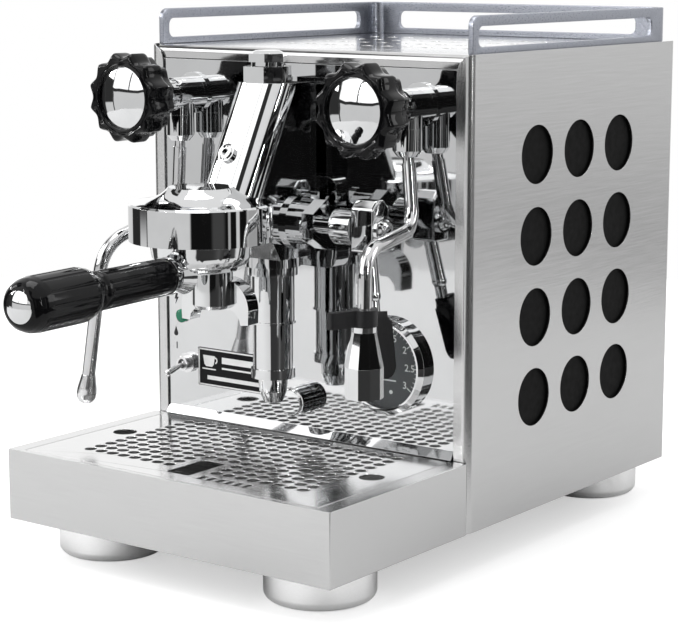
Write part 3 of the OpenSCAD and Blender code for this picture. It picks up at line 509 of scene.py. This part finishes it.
floor_links.new(card, floor_colour.inputs["Fac"])
floor_links.new(floor_colour.outputs["Color"], floor_shader.inputs["Base Color"])
floor_links.new(g.math("MULTIPLY", seen, FLOOR_GLOW), floor_shader.inputs["Emission Strength"])
floor_mesh.materials.append(floor_mat)

# ---------------------------------------------------------------- studio walls

# what the polished parts reflect: azimuth from and to (degrees), sine of the elevation from and to,
# brightness, and how soft the window's edges are in degrees and in sine
WALLS = (
    (-172, -118, -0.02, 0.40, 1.25, 5, 0.03),       # soft light behind the left side
    (118, 168, -0.22, -0.10, 0.45, 6, 0.03),        # grey skirting behind the right side
    (-60, 6, 0.10, 0.84, 1.9, 1.0, 0.01),           # big softbox in front
    (-62, 22, 0.045, 0.10, 0.04, 1.0, 0.008),       # its dark lower edge
    (-27.8, -26, 0.08, 0.70, 0.04, 0.3, 0.01),      # its mullion
    (6, 30, 0.30, 0.84, 0.04, 1.0, 0.012),          # black flag right of the softbox
    (-97, -71, -0.70, 0.80, 0.03, 1.2, 0.012),      # black flags on the left
    (-72, -54.5, -0.13, 0.80, 0.04, 1.2, 0.012),
    (-84, -76, 0.20, 0.80, 0.45, 1.5, 0.012),       # grey slit between them
    (-55, -53, -0.6, 0.1, 0.05, 0.3, 0.012),
    (24, 118, -0.65, 0.50, 0.008, 2, 0.012),        # dark room on the right, with light slits in it
    (58, 78, -0.3, 0.3, 0.07, 3, 0.012),
    (44, 46.5, -0.1, 0.45, 0.9, 0.4, 0.012),
    (84, 88, -0.3, 0.45, 0.5, 0.8, 0.012),
    (98, 104, -0.2, 0.45, 0.8, 0.8, 0.012),
)
world = bpy.data.worlds.new("studio")
bpy.context.scene.world = world
world.use_nodes = True
world_nodes, world_links = world.node_tree.nodes, world.node_tree.links
world_nodes.clear()

g = Graph(world_nodes, world_links)
world_co = world_nodes.new("ShaderNodeTexCoord")
world_xyz = world_nodes.new("ShaderNodeSeparateXYZ")
world_links.new(world_co.outputs["Generated"], world_xyz.inputs[0])
x, y, rise = world_xyz.outputs
turn = g.azimuth(x, y)
level = g.math("MULTIPLY_ADD", g.step(rise, -0.1, 0.9), 0.25, 0.82)
for az_lo, az_hi, z_lo, z_hi, brightness, soft_az, soft_z in WALLS:
    window = g.math("MULTIPLY", g.band(turn, az_lo, az_hi, soft_az), g.band(rise, z_lo, z_hi, soft_z))
    level = g.mix(level, brightness, window)
level = g.mix(level, 1.0, world_nodes.new("ShaderNodeLightPath").outputs["Is Camera Ray"])
background = world_nodes.new("ShaderNodeBackground")
background.inputs["Color"].default_value = (1, 1, 1, 1)
world_links.new(level, background.inputs["Strength"])
world_out = world_nodes.new("ShaderNodeOutputWorld")
world_links.new(background.outputs[0], world_out.inputs["Surface"])

# ---------------------------------------------------------------- camera

CAMERA_PLACE = at(866.433, -961.196, 406.747)
AZIMUTH, ELEVATION, ROLL = 0.633988, 0.175774, -0.001403      # radians; the view runs down and to the left

camera_data = bpy.data.cameras.new("camera")
camera_data.sensor_width = 36
camera_data.lens = 109.96
camera_data.shift_x, camera_data.shift_y = -0.0318, 0.0027
camera_data.clip_end = 20
camera = bpy.data.objects.new("camera", camera_data)
bpy.context.collection.objects.link(camera)
camera.location = CAMERA_PLACE
camera.rotation_euler = (math.pi / 2 - ELEVATION, ROLL, AZIMUTH)
bpy.context.scene.camera = camera
bpy.context.scene.view_settings.view_transform = "Standard"
